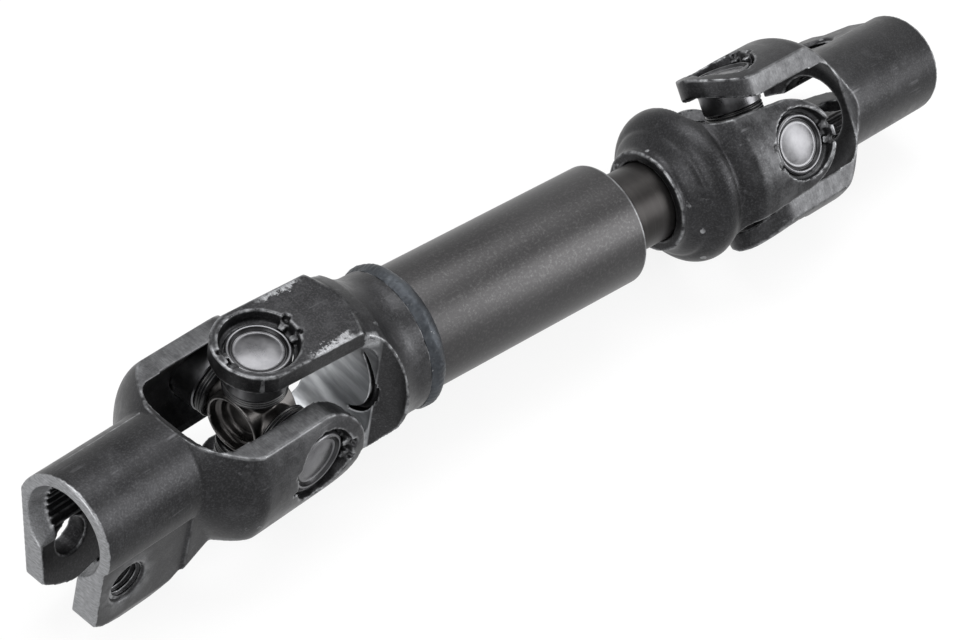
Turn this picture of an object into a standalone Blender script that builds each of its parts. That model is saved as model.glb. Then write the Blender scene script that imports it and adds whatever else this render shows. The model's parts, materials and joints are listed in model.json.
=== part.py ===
"""Telescoping steering shaft with a universal joint and a pinch clamp at each end.

Metres, +Z up. The sleeve lies along X. Each fork is modelled in its own frame, with the joint's
centre at the origin and its shank along +X, and an empty at the joint puts it in its place.
"""

from math import asin, cos, degrees, pi, radians, sin, tan

import bmesh
import bpy
from mathutils import Matrix, Vector

MM = 0.001
FIT = 0.3 * MM  # clearance between two pieces that touch or turn in each other

# How the joints stand at rest, in degrees
LOWER_SPIDER_TURN = 9.0
LOWER_CLAMP_TILT = 6.5
SHAFT_FORK_PHASE = 47.5
UPPER_SPIDER_TURN = -0.5
UPPER_CLAMP_TILT = 6.9

# Bearing cups, needles and seals, the same on every trunnion
JOINT_SPACING = 164.7 * MM
CUP_RADIUS = 8.0 * MM
CUP_FACE = 21.6 * MM
CUP_LENGTH = 9.8 * MM
CUP_WALL = 1.3 * MM
CUP_FLOOR = 1.4 * MM
CUP_RIM_ROUND = 0.9 * MM
CUP_GROOVE_DEPTH = 0.25 * MM
CUP_SIDES = 16
SEAL_SIDES = 12
JOURNAL_RADIUS = 4.4 * MM
JOURNAL_CHAMFER = 0.6 * MM
NEEDLE_COUNT = 8
SEAL_LENGTH = 2.6 * MM
SEAL_RIB = 0.45 * MM

# Cross between the two forks of a joint
HUB_RADIUS = 8.1 * MM
HUB_SIDES = 22
TRUNNION_SIDES = 14
HUB_HALF_LENGTH = 7.1 * MM
HUB_RIM = 1.2 * MM
HUB_RECESS_DEPTH = 2.2 * MM
HUB_STEP = 1.7 * MM
HUB_WELL_DEPTH = 2.0 * MM
SHOULDER_RADIUS = 6.0 * MM

# Arms of the sleeve's and the inner shaft's forks
ARM_OUTER = 24.3 * MM
ARM_THICKNESS = 5.3 * MM
RECESS_RADIUS = CUP_RADIUS + 1.2 * MM
RECESS_FLOOR = CUP_FACE - 0.9 * MM
STAKE_WIDTH = 2.2 * MM
STAKE_REACH = 0.7 * MM
STAKE_HEIGHT = 0.6 * MM
STAKE_ROOT = 0.5 * MM
STAKE_ANGLES = (40.0, 140.0, 220.0, 320.0)
SEAT_TURN = 2.0  # keeps the corners of one round cutter off those of another

# Sleeve, bush and inner shaft, each sized from the sleeve's radius inwards
SLEEVE_RADIUS = 16.4 * MM
SLEEVE_WALL = 2.7 * MM
SLEEVE_END = 112.7 * MM
SLEEVE_CHAMFER = 0.6 * MM
BUSH_WALL = 1.1 * MM
BUSH_LENGTH = 36.0 * MM
BUSH_INSET = 1.0 * MM
SPLINE_TEETH = 20
SPLINE_HEIGHT = 0.9 * MM
SPLINE_ROOT = SLEEVE_RADIUS - SLEEVE_WALL - BUSH_WALL - SPLINE_HEIGHT - 2 * FIT
SPLINE_START = 56.0 * MM
SPLINE_END = 109.0 * MM
SHAFT_RADIUS = SPLINE_ROOT - 0.2 * MM
SHAFT_CHAMFER = 1.0 * MM

# Flat-armed fork welded on the sleeve
SLEEVE_FORK_TIP_RADIUS = 11.6 * MM
SLEEVE_FORK_HALF_WIDTH = 11.3 * MM
SLEEVE_FORK_CORNER = 8.0 * MM
SLEEVE_FORK_CAVITY_END = 27.0 * MM
SLEEVE_FORK_CROTCH_ROUND = 8.0 * MM
SLEEVE_FORK_BORE = SLEEVE_RADIUS - SLEEVE_WALL - 1.1 * MM
SLEEVE_FORK_SHOULDER = ARM_OUTER + 2.9 * MM
SLEEVE_FORK_TRIM_START = 20.3 * MM
SLEEVE_FORK_TRIM_END = 24.6 * MM
SLEEVE_FORK_BROW = ARM_OUTER - 1.8 * MM
SLEEVE_FORK_BROW_END = 28.3 * MM
COLLAR_START = 31.0 * MM
COLLAR_FLARE_END = 37.0 * MM
COLLAR_END = 40.5 * MM
COLLAR_WALL = 1.9 * MM
COLLAR_RADIUS = SLEEVE_RADIUS + COLLAR_WALL
COLLAR_SEAT_START = 34.0 * MM
BEAD_WIDTH = 4.3 * MM
BEAD_HEIGHT = 0.7 * MM

# Bulged fork on the inner shaft
SHAFT_FORK_TIP = 10.6 * MM
SHAFT_FORK_ARM_HALF_WIDTH = 12.4 * MM
SHAFT_FORK_ROOT_HALF_WIDTH = 13.9 * MM
SHAFT_FORK_ROOT = 18.5 * MM
SHAFT_FORK_CORNER = 6.0 * MM
SHAFT_FORK_CAVITY_END = 23.5 * MM
SHAFT_FORK_CROTCH_ROUND = 14.0 * MM
WAIST_START = 16.5 * MM
BULGE_X = 25.5 * MM
BULGE_RADIUS = 21.3 * MM
BULGE_ROUND = 5.8 * MM
NECK_WALL = 3.1 * MM
NECK_RADIUS = SHAFT_RADIUS + NECK_WALL
NECK_START = 35.4 * MM
NECK_END = 37.0 * MM

# Pinch-clamp forks, one shape with its own tube and ear lengths at each end
CLAMP_TUBE_RADIUS = 14.2 * MM
CLAMP_BELL_RADIUS = 24.2 * MM
CLAMP_BELL_DROP = 1.2 * MM
CLAMP_BELL_START = 19.0 * MM
CLAMP_BELL_END = 34.0 * MM
CLAMP_CAVITY_RADIUS = 18.8 * MM
CLAMP_CAVITY_STRAIGHT = 22.5 * MM
CLAMP_CAVITY_END = 28.5 * MM
CLAMP_CROTCH_RADIUS = 12.3 * MM
CLAMP_ARM_HALF_HEIGHT = 12.4 * MM
CLAMP_ARM_TIP = 13.5 * MM
CLAMP_RECESS_FLOOR = 20.2 * MM
EAR_DEPTH = 24.8 * MM
EAR_NEAR = CLAMP_TUBE_RADIUS - 0.3 * MM
EAR_LEAN = 12.2
EAR_BEVEL = 5.2 * MM
EAR_BEVEL_LEAN = 18.0
EAR_RISE_START = 19.0 * MM
EAR_RISE_END = 44.0 * MM
EAR_CORNER_LENGTH = 12.0 * MM
EAR_CORNER_DEPTH = 4.4 * MM
EAR_STEP = 2.0 * MM
PRESSED_START = 33.6 * MM
PRESSED_DROP = 2.6 * MM
PRESSED_DEPTH = 0.45 * MM
SLOT_HALF_WIDTH = 5.9 * MM
SLOT_LEAN_START = 8.4 * MM
CLAMP_WALL = 4.4 * MM
SERRATION_COUNT = 32
SERRATION_ROOT = CLAMP_TUBE_RADIUS - CLAMP_WALL
SERRATION_TIP = SERRATION_ROOT - 0.6 * MM
BORE_MOUTH_RADIUS = SERRATION_ROOT + 1.6 * MM
BORE_MOUTH_FOOT = SERRATION_ROOT + 0.2 * MM
BORE_MOUTH_DEPTH = 4.6 * MM
BOLT_DROP = 12.0 * MM
BOLT_INSET = 9.4 * MM
BOLT_THREAD_RADIUS = 4.6 * MM
BOLT_CHAMFER = 0.8 * MM
BOLT_CLEARANCE_RADIUS = 4.6 * MM
BOLT_SEAT_RADIUS = 6.8 * MM
BOLT_SEAT_REACH = CLAMP_TUBE_RADIUS - 3.9 * MM
LOWER_CLAMP_LENGTH = 61.5 * MM
LOWER_EAR_LENGTH = 61.5 * MM
LOWER_ARM_UNDERSIDE = CLAMP_ARM_HALF_HEIGHT + 1.0 * MM
UPPER_CLAMP_LENGTH = 66.7 * MM
UPPER_EAR_LENGTH = 60.0 * MM
UPPER_ARM_UNDERSIDE = CLAMP_ARM_HALF_HEIGHT - 2.0 * MM

OVER = 5.0 * MM  # how far a cutter runs past the surface that it cuts
FAR = 60.0 * MM  # half-length of a cutter that goes through a whole fork

for leftover in list(bpy.data.objects):
    bpy.data.objects.remove(leftover, do_unlink=True)

PARTS = bpy.data.collections.new("steering_shaft")
CUTTERS = bpy.data.collections.new("cutters")
bpy.context.scene.collection.children.link(PARTS)
bpy.context.scene.collection.children.link(CUTTERS)
CUTTERS.hide_render = True


def material(name, colour, roughness, metallic):
    made = bpy.data.materials.new(name)
    made.use_nodes = True
    shader = made.node_tree.nodes["Principled BSDF"]
    shader.inputs["Base Color"].default_value = (*colour, 1.0)
    shader.inputs["Roughness"].default_value = roughness
    shader.inputs["Metallic"].default_value = metallic
    return made


FORGED = material("phosphated_steel", (0.045, 0.045, 0.047), 0.45, 0.85)
TUBE = material("drawn_tube_steel", (0.10, 0.10, 0.11), 0.38, 0.9)
BRIGHT = material("bearing_steel", (0.62, 0.62, 0.63), 0.22, 1.0)
WELD = material("weld_metal", (0.20, 0.23, 0.26), 0.5, 0.8)
GROUND = material("ground_steel", (0.22, 0.20, 0.19), 0.35, 0.95)
CROSS = material("cross_steel", (0.16, 0.15, 0.15), 0.3, 0.95)
RUBBER = material("seal_rubber", (0.012, 0.012, 0.013), 0.35, 0.0)
NYLON = material("bush_nylon", (0.78, 0.76, 0.70), 0.5, 0.0)


def empty(name, parent=None, location=(0, 0, 0), turns=()):
    """An empty at a joint. turns are rotations in degrees about its own axes, taken in order."""
    made = bpy.data.objects.new(name, None)
    PARTS.objects.link(made)
    made.parent = parent
    place = Matrix.Translation(location)
    for axis, angle in turns:
        place = place @ Matrix.Rotation(radians(angle), 4, axis)
    made.matrix_local = place
    return made


def evaluated_mesh(obj):
    """The object's mesh after its modifiers, welded and facing out. The object is removed."""
    graph = bpy.context.evaluated_depsgraph_get()
    mesh = bpy.data.meshes.new_from_object(obj.evaluated_get(graph))
    bpy.data.objects.remove(obj, do_unlink=True)
    shape = bmesh.new()
    shape.from_mesh(mesh)
    bmesh.ops.remove_doubles(shape, verts=shape.verts, dist=0.002 * MM)
    bmesh.ops.recalc_face_normals(shape, faces=shape.faces)
    shape.to_mesh(mesh)
    shape.free()
    return mesh


def turned_mesh(profile, sides):
    """A profile of (x, radius) points turned round the X axis. It is closed unless it ends on the axis."""
    mesh = bpy.data.meshes.new("profile")
    points = [(x, radius, 0.0) for x, radius in profile]
    edges = [(i, i + 1) for i in range(len(points) - 1)]
    if profile[0][1] > 0.0:
        edges.append((len(points) - 1, 0))
    mesh.from_pydata(points, edges, [])
    obj = bpy.data.objects.new("profile", mesh)
    CUTTERS.objects.link(obj)
    screw = obj.modifiers.new("turn", "SCREW")
    screw.axis = "X"
    screw.steps = sides
    screw.render_steps = sides
    screw.use_merge_vertices = True
    screw.merge_threshold = 0.00001
    bpy.context.view_layer.update()
    return evaluated_mesh(obj)


def outline_mesh(points, depth_from, depth_to, plane):
    """A closed flat outline with thickness, in the XY, XZ or YZ plane."""
    curve = bpy.data.curves.new("outline", "CURVE")
    curve.dimensions = "2D"
    curve.fill_mode = "BOTH"
    curve.extrude = (depth_to - depth_from) / 2
    spline = curve.splines.new("POLY")
    spline.points.add(len(points) - 1)
    spline.use_cyclic_u = True
    for point, (u, v) in zip(spline.points, points):
        point.co = (u, v, 0.0, 1.0)
    obj = bpy.data.objects.new("outline", curve)
    CUTTERS.objects.link(obj)
    bpy.context.view_layer.update()
    mesh = evaluated_mesh(obj)
    middle = (depth_from + depth_to) / 2
    turn = {
        "XY": Matrix.Identity(4),
        "XZ": Matrix.Rotation(pi / 2, 4, "X"),
        "YZ": Matrix(((0, 0, 1, 0), (1, 0, 0, 0), (0, 1, 0, 0), (0, 0, 0, 1))),
    }[plane]
    shift = {"XY": (0, 0, middle), "XZ": (0, middle, 0), "YZ": (middle, 0, 0)}[plane]
    mesh.transform(Matrix.Translation(shift) @ turn)
    return mesh


def part(name, mesh, look, parent, matrix=None):
    """A piece of the shaft, shaded smooth except at its sharp edges."""
    obj = bpy.data.objects.new(name, mesh)
    PARTS.objects.link(obj)
    obj.parent = parent
    if matrix is not None:
        obj.matrix_local = matrix
    if not mesh.materials:
        mesh.materials.append(look)
    mesh.shade_smooth()
    mesh.set_sharp_from_angle(angle=radians(32))
    return obj


def welded(target):
    """Closes the hairline splits that a chain of Booleans can leave."""
    weld = target.modifiers.new("weld", "WELD")
    weld.merge_threshold = 0.004 * MM
    return target


def cutter(name, mesh, target):
    """A helper solid in the frame of the piece that it shapes."""
    obj = bpy.data.objects.new(name, mesh)
    CUTTERS.objects.link(obj)
    obj.parent = target.parent
    obj.matrix_local = target.matrix_local.copy()
    obj.hide_render = True
    obj.display_type = "WIRE"
    return obj


def shaped(target, operation, name, mesh):
    """Adds a Boolean to the target: DIFFERENCE, UNION or INTERSECT."""
    step = target.modifiers.new(name, "BOOLEAN")
    step.operation = operation
    step.solver = "EXACT"
    step.object = cutter(target.name + "_" + name, mesh, target)


def arc(centre_u, centre_v, radius, start, end, count):
    """Points on an arc, angles in degrees, both ends included."""
    steps = [radians(start + (end - start) * i / (count - 1)) for i in range(count)]
    return [(centre_u + radius * cos(a), centre_v + radius * sin(a)) for a in steps]


def ease(x, start, end):
    """0 before start, 1 after end, and a smooth step between them."""
    t = min(1.0, max(0.0, (x - start) / (end - start)))
    return t * t * (3.0 - 2.0 * t)


def eased(start, end, low, high, count):
    """Points (x, value) of a smooth step from low to high, both ends included."""
    xs = [start + (end - start) * i / (count - 1) for i in range(count)]
    return [(x, low + (high - low) * ease(x, start, end)) for x in xs]


def mirrored_outline(upper):
    """Closes an outline over the U axis: upper runs from one end to the other at v > 0."""
    return upper + [(u, -v) for u, v in reversed(upper)]


def rod_mesh(radius, low, high, axis, sides=CUP_SIDES, centre=(0, 0, 0)):
    """A round rod along X, Y or Z."""
    mesh = turned_mesh([(low, 0.0), (low, radius), (high, radius), (high, 0.0)], sides)
    quarter = {"X": Matrix.Identity(4), "Y": Matrix.Rotation(pi / 2, 4, "Z"),
               "Z": Matrix.Rotation(-pi / 2, 4, "Y")}[axis]
    mesh.transform(Matrix.Translation(centre) @ quarter)
    return mesh


def toothed_mesh(root, tip, teeth, low, high, land=0.3):
    """A toothed prism along X. land is the share of the pitch that a tooth's flat top takes."""
    points = []
    pitch = 2 * pi / teeth
    tooth = [(root, 0.0), (tip, 0.5)]
    if land > 0.0:
        tooth = [(root, -0.25), (root, 0.25 - land / 2), (tip, 0.5 - land / 2), (tip, 0.5 + land / 2)]
    for i in range(teeth):
        for radius, share in tooth:
            angle = pitch * (i + share)
            points.append((radius * cos(angle), radius * sin(angle)))
    return outline_mesh(points, low, high, "YZ")


def along(axis, side):
    """The frame of a trunnion: its X runs out from the joint's centre along +-Y or +-Z."""
    if axis == "Y":
        return Matrix.Rotation(side * pi / 2, 4, "Z")
    return Matrix.Rotation(-side * pi / 2, 4, "Y")


def cup_seats(fork, axis, outer, recess_floor):
    """Bores and recesses for the two bearing cups, and the staked lips that hold them."""
    for side, label in ((1, "near"), (-1, "far")):
        turn = along(axis, side) @ Matrix.Rotation(radians(SEAT_TURN), 4, "X")
        bore = rod_mesh(CUP_RADIUS + FIT, CUP_FACE - CUP_LENGTH, outer + OVER, "X", 24)
        recess = rod_mesh(RECESS_RADIUS, recess_floor, outer + OVER, "X", 24)
        bore.transform(turn)
        recess.transform(turn)
        shaped(fork, "DIFFERENCE", label + "_bore", bore)
        shaped(fork, "DIFFERENCE", label + "_recess", recess)
        for number, angle in enumerate(STAKE_ANGLES):
            lip = stake_mesh()
            lip.transform(turn @ Matrix.Rotation(radians(angle - SEAT_TURN), 4, "X"))
            shaped(fork, "UNION", "%s_lip_%d" % (label, number), lip)


def stake_mesh():
    """A lip of fork metal pushed over the edge of a cup: a wedge that falls inwards."""
    foot = CUP_FACE + FIT
    top = foot + STAKE_HEIGHT
    inner = CUP_RADIUS - STAKE_REACH
    outer = RECESS_RADIUS + STAKE_ROOT
    slope = [(foot + STAKE_HEIGHT / 2, inner), (top, RECESS_RADIUS)]
    side = [(foot, inner), *slope, (top, outer), (foot, outer)]
    return outline_mesh(side, -STAKE_WIDTH / 2, STAKE_WIDTH / 2, "XY")


def settling(start, end, high, low, count):
    """Points (x, value) that fall fast at first and then level out, both ends included."""
    shares = [i / (count - 1) for i in range(count)]
    return [(start + (end - start) * t, low + (high - low) * (1.0 - t) ** 2) for t in shares]


def collar_flare():
    """Radius profile of the sleeve's fork, from the tips over the brow to the collar."""
    tip = -SLEEVE_FORK_TIP_RADIUS - OVER
    trim = eased(SLEEVE_FORK_TRIM_START, SLEEVE_FORK_TRIM_END, SLEEVE_FORK_SHOULDER, ARM_OUTER, 4)
    flare = settling(SLEEVE_FORK_BROW_END, COLLAR_FLARE_END, SLEEVE_FORK_BROW, COLLAR_RADIUS, 6)
    end = [(COLLAR_END, COLLAR_RADIUS), (COLLAR_END, 0.0)]
    return [(tip, 0.0), (tip, SLEEVE_FORK_SHOULDER), *trim, *flare, *end]


def sleeve_fork(parent):
    """The fork with flat parallel arms that is welded on the sleeve."""
    fork = part("sleeve_yoke", turned_mesh(collar_flare(), 36), FORGED, parent)
    side_angle = degrees(asin(SLEEVE_FORK_HALF_WIDTH / SLEEVE_FORK_TIP_RADIUS))
    tip = arc(0.0, 0.0, SLEEVE_FORK_TIP_RADIUS, 180, 180 - side_angle, 8)
    corner_x = COLLAR_START - SLEEVE_FORK_CORNER
    corner = arc(corner_x, SLEEVE_FORK_HALF_WIDTH + SLEEVE_FORK_CORNER, SLEEVE_FORK_CORNER, 270, 360, 5)
    side = [(COLLAR_START, COLLAR_RADIUS + OVER), (COLLAR_END + OVER, COLLAR_RADIUS + OVER)]
    plan = mirrored_outline(tip[1:] + corner + side)
    shaped(fork, "INTERSECT", "plan", outline_mesh([tip[0]] + plan, -ARM_OUTER, ARM_OUTER, "XY"))
    inner = ARM_OUTER - ARM_THICKNESS
    bend = SLEEVE_FORK_CROTCH_ROUND
    start = -SLEEVE_FORK_TIP_RADIUS - OVER
    mouth = [(start, inner)] + arc(SLEEVE_FORK_CAVITY_END - bend, inner - bend, bend, 90, 0, 6)
    shaped(fork, "DIFFERENCE", "gap", outline_mesh(mirrored_outline(mouth), -FAR, FAR, "XZ"))
    bore = rod_mesh(SLEEVE_FORK_BORE, 0.0, COLLAR_END + OVER, "X", 32)
    shaped(fork, "DIFFERENCE", "bore", bore)
    seat = rod_mesh(SLEEVE_RADIUS + FIT, COLLAR_SEAT_START, COLLAR_END + OVER, "X", 36)
    shaped(fork, "DIFFERENCE", "seat", seat)
    cup_seats(fork, "Z", ARM_OUTER, RECESS_FLOOR)
    return welded(fork)


def weld_bead(parent):
    """The bead that joins the collar to the sleeve."""
    start = COLLAR_END + FIT
    inner = SLEEVE_RADIUS + FIT
    crown = COLLAR_RADIUS + BEAD_HEIGHT
    end = start + BEAD_WIDTH
    profile = [(start, inner), (end, inner), (end, COLLAR_RADIUS - BEAD_HEIGHT),
               (end - BEAD_WIDTH * 0.2, crown), (start + BEAD_WIDTH * 0.45, crown), (start, COLLAR_RADIUS)]
    return part("weld_bead", turned_mesh(profile, 36), WELD, parent)


def sleeve_tube(parent):
    start = COLLAR_SEAT_START + FIT
    bore = SLEEVE_RADIUS - SLEEVE_WALL
    edge = SLEEVE_CHAMFER
    profile = [(start, bore), (SLEEVE_END, bore), (SLEEVE_END, SLEEVE_RADIUS - edge),
               (SLEEVE_END - edge, SLEEVE_RADIUS), (start + edge, SLEEVE_RADIUS),
               (start, SLEEVE_RADIUS - edge)]
    return part("sleeve_tube", turned_mesh(profile, 40), TUBE, parent)


def slide_bush(parent):
    """The splined bush fixed in the sleeve, which the inner shaft slides in."""
    end = SLEEVE_END - BUSH_INSET
    start = end - BUSH_LENGTH
    outer = SLEEVE_RADIUS - SLEEVE_WALL - FIT
    tip = outer - BUSH_WALL
    bush = part("slide_bush", rod_mesh(outer, start, end, "X", 36), NYLON, parent)
    socket = toothed_mesh(tip - SPLINE_HEIGHT, tip, SPLINE_TEETH, start - OVER, end + OVER, 0.42)
    shaped(bush, "DIFFERENCE", "spline", socket)
    return welded(bush)


def inner_shaft(parent):
    """Splined where it slides in the bush, round where it leaves the sleeve and enters its fork."""
    end = JOINT_SPACING - SHAFT_FORK_CAVITY_END - FIT
    edge = SHAFT_CHAMFER
    profile = [(SPLINE_END - OVER, 0.0), (SPLINE_END - OVER, SHAFT_RADIUS), (end - edge, SHAFT_RADIUS),
               (end, SHAFT_RADIUS - edge), (end, 0.0)]
    shaft = part("inner_shaft", turned_mesh(profile, 36), GROUND, parent)
    teeth = toothed_mesh(SPLINE_ROOT, SPLINE_ROOT + SPLINE_HEIGHT, SPLINE_TEETH, SPLINE_START, SPLINE_END)
    shaped(shaft, "UNION", "spline", teeth)
    return welded(shaft)


def bulge_profile():
    """Radius profile of the inner shaft's fork: arms, a waist, a round bulge and a short neck."""
    start = -SHAFT_FORK_TIP - OVER
    bulge = arc(BULGE_X, BULGE_RADIUS - BULGE_ROUND, BULGE_ROUND, 115, 20, 7)
    waist = eased(WAIST_START, bulge[0][0], ARM_OUTER, bulge[0][1], 5)
    fillet = eased(bulge[-1][0], NECK_START, bulge[-1][1], NECK_RADIUS, 4)
    neck = [(NECK_END, NECK_RADIUS), (NECK_END, 0.0)]
    return [(start, 0.0), (start, ARM_OUTER), *waist, *bulge[1:], *fillet[1:], *neck]


def shaft_fork(parent):
    """The bulged fork on the inner shaft, whose arms keep the round of the bulge on their outside."""
    turn = Matrix.Rotation(pi, 4, "Z")
    fork = part("shaft_yoke", turned_mesh(bulge_profile(), 48), FORGED, parent, turn)
    half = SHAFT_FORK_ARM_HALF_WIDTH
    straight = half - SHAFT_FORK_TIP
    tip = arc(straight, 0.0, half, 180, 95, 9)
    corner_v = SHAFT_FORK_ROOT_HALF_WIDTH + SHAFT_FORK_CORNER
    corner = arc(SHAFT_FORK_ROOT, corner_v, SHAFT_FORK_CORNER, 275, 345, 5)
    beyond = BULGE_RADIUS + OVER
    side = [(SHAFT_FORK_ROOT + SHAFT_FORK_CORNER, beyond), (NECK_END + OVER, beyond)]
    plan = [tip[0]] + mirrored_outline(tip[1:] + corner + side)
    shaped(fork, "INTERSECT", "plan", outline_mesh(plan, -FAR, FAR, "XY"))
    inner = ARM_OUTER - ARM_THICKNESS
    bend = SHAFT_FORK_CROTCH_ROUND
    start = -SHAFT_FORK_TIP - OVER
    mouth = [(start, inner)] + arc(SHAFT_FORK_CAVITY_END - bend, inner - bend, bend, 90, 0, 6)
    shaped(fork, "DIFFERENCE", "gap", outline_mesh(mirrored_outline(mouth), -FAR, FAR, "XZ"))
    bore = rod_mesh(SHAFT_RADIUS + FIT, SHAFT_FORK_CAVITY_END - OVER, NECK_END + OVER, "X", 36)
    shaped(fork, "DIFFERENCE", "bore", bore)
    cup_seats(fork, "Z", ARM_OUTER, RECESS_FLOOR)
    return welded(fork)


def clamp_section():
    """Outline of the clamp's tube across its axis: round above, a straight near ear and a leaning far ear."""
    near = degrees(asin(EAR_NEAR / CLAMP_TUBE_RADIUS))
    top = arc(0.0, 0.0, CLAMP_TUBE_RADIUS, near - 90, 180 - EAR_LEAN, 17)
    foot = -EAR_DEPTH - OVER
    bevel = -EAR_DEPTH + EAR_BEVEL
    far_foot = top[-1][0] + (top[-1][1] - foot) * tan(radians(EAR_LEAN))
    near_foot = EAR_NEAR - (bevel - foot) * tan(radians(EAR_BEVEL_LEAN))
    return top + [(far_foot, foot), (near_foot, foot), (EAR_NEAR, bevel)]


def slot_outline():
    """Section of the slot between the ears: upright on the near side, leaning with the far ear."""
    lean = (FAR - SLOT_LEAN_START) * tan(radians(EAR_LEAN))
    half = SLOT_HALF_WIDTH
    return [(half, 0.0), (-half, 0.0), (-half, -SLOT_LEAN_START), (lean - half, -FAR), (half, -FAR)]


def clamp_side(length, ear_length, underside):
    """Side outline of a clamp fork: arm tip, flat-topped fork, tube, and the ears under it."""
    centre = CLAMP_ARM_HALF_HEIGHT - CLAMP_ARM_TIP
    tip = arc(centre, 0.0, CLAMP_ARM_HALF_HEIGHT, 90, 180, 7)
    for angle in range(195, 271, 15):
        turn = radians(angle)
        tip.append((centre + CLAMP_ARM_HALF_HEIGHT * cos(turn), underside * sin(turn)))
    under = eased(EAR_RISE_START, EAR_RISE_END, -underside, -EAR_DEPTH, 6)
    corner = []
    for share in (0.0, 1 / 3, 2 / 3, 1.0):
        rise = EAR_CORNER_DEPTH * share ** 2
        corner.append((ear_length - EAR_CORNER_LENGTH * (1.0 - share), rise - EAR_DEPTH))
    end = []
    if length > ear_length:
        end = [(ear_length, -CLAMP_TUBE_RADIUS - EAR_STEP), (length, -CLAMP_TUBE_RADIUS + EAR_STEP)]
    over = CLAMP_TUBE_RADIUS + EAR_STEP
    top = eased(CLAMP_CAVITY_END, CLAMP_BELL_END, CLAMP_ARM_HALF_HEIGHT + FIT, over, 5)
    return tip + under + corner + end + [(length, over)] + list(reversed(top))


def clamp_bell():
    """Radius profile of the fork end of a clamp, which narrows to the tube."""
    start = -CLAMP_ARM_TIP - OVER
    inside = CLAMP_TUBE_RADIUS - FIT
    bell = eased(CLAMP_BELL_START, CLAMP_BELL_END, CLAMP_BELL_RADIUS, inside, 8)
    end = CLAMP_BELL_END + OVER
    return [(start, 0.0), (start, CLAMP_BELL_RADIUS), *bell, (end, inside), (end, 0.0)]


def clamp_cavity():
    """Radius profile of the space between the arms, round at its bottom."""
    start = -CLAMP_ARM_TIP - 2 * OVER
    depth = CLAMP_CAVITY_END - CLAMP_CAVITY_STRAIGHT
    rise = CLAMP_CAVITY_RADIUS - CLAMP_CROTCH_RADIUS
    bottom = []
    for i in range(5):
        angle = radians(90.0 * i / 4)
        bottom.append((CLAMP_CAVITY_STRAIGHT + depth * sin(angle), CLAMP_CROTCH_RADIUS + rise * cos(angle)))
    return [(start, 0.0), (start, CLAMP_CAVITY_RADIUS), *bottom, (CLAMP_CAVITY_END, 0.0)]


def bore_mouth_mesh(length):
    """The long chamfer that leads a shaft into the serrated bore."""
    flare = (BORE_MOUTH_RADIUS - BORE_MOUTH_FOOT) / BORE_MOUTH_DEPTH
    foot = length - BORE_MOUTH_DEPTH
    end = length + OVER
    cone = [(foot, BORE_MOUTH_FOOT), (end, BORE_MOUTH_RADIUS + OVER * flare)]
    return turned_mesh([(foot, 0.0), *cone, (end, 0.0)], 36)


def pinch_holes(fork, bolt_x, threaded_side):
    """The tapped hole with its countersink in one ear, the clear hole and bolt seat in the other."""
    for side, label in ((1, "left"), (-1, "right")):
        tapped = side == threaded_side
        radius = BOLT_THREAD_RADIUS if tapped else BOLT_CLEARANCE_RADIUS
        face = EAR_NEAR - PRESSED_DEPTH
        if tapped:
            mouth = radius + BOLT_CHAMFER
            profile = [(0.0, 0.0), (0.0, radius), (face - BOLT_CHAMFER, radius), (face, mouth),
                       (face + OVER, mouth), (face + OVER, 0.0)]
        else:
            seat = BOLT_SEAT_REACH
            profile = [(0.0, 0.0), (0.0, radius), (seat, radius), (seat, BOLT_SEAT_RADIUS),
                       (seat + OVER, BOLT_SEAT_RADIUS), (seat + OVER, 0.0)]
        hole = turned_mesh(profile, 20)
        hole.transform(Matrix.Translation((bolt_x, 0.0, -BOLT_DROP)) @ along("Y", side))
        shaped(fork, "DIFFERENCE", label + "_hole", hole)


def clamp_fork(name, parent, lengths, turn, threaded_side):
    """A fork whose shank is a slotted clamp for a serrated shaft, with a pinch bolt across its ears.

    lengths are those of the tube and the ears from the joint's centre, and the arms' reach below it.
    """
    length, ear_length, underside = lengths
    bell = turned_mesh(clamp_bell(), 36)
    bell.transform(Matrix.Translation((0, 0, -CLAMP_BELL_DROP)))
    fork = part(name, bell, FORGED, parent, turn)
    tube = outline_mesh(clamp_section(), CLAMP_CAVITY_END - OVER, length + OVER, "YZ")
    shaped(fork, "UNION", "tube", tube)
    side = outline_mesh(clamp_side(length, ear_length, underside), -FAR, FAR, "XZ")
    shaped(fork, "INTERSECT", "side", side)
    cavity = turned_mesh(clamp_cavity(), 30)
    cavity.transform(Matrix.Rotation(radians(SEAT_TURN), 4, "X"))
    shaped(fork, "DIFFERENCE", "cavity", cavity)
    bore = toothed_mesh(SERRATION_TIP, SERRATION_ROOT, SERRATION_COUNT, 0.0, length + OVER, 0.0)
    shaped(fork, "DIFFERENCE", "serrations", bore)
    shaped(fork, "DIFFERENCE", "slot", outline_mesh(slot_outline(), 0.0, length + OVER, "YZ"))
    shaped(fork, "DIFFERENCE", "mouth", bore_mouth_mesh(length))
    pressed = outline_mesh([(PRESSED_START, -PRESSED_DROP), (length + OVER, -PRESSED_DROP),
                            (length + OVER, -FAR), (PRESSED_START, -FAR)],
                           EAR_NEAR - PRESSED_DEPTH, EAR_NEAR + OVER, "XZ")
    shaped(fork, "DIFFERENCE", "pressed_flat", pressed)
    pinch_holes(fork, ear_length - BOLT_INSET, threaded_side)
    cup_seats(fork, "Y", CLAMP_BELL_RADIUS, CLAMP_RECESS_FLOOR)
    return welded(fork)


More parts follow.
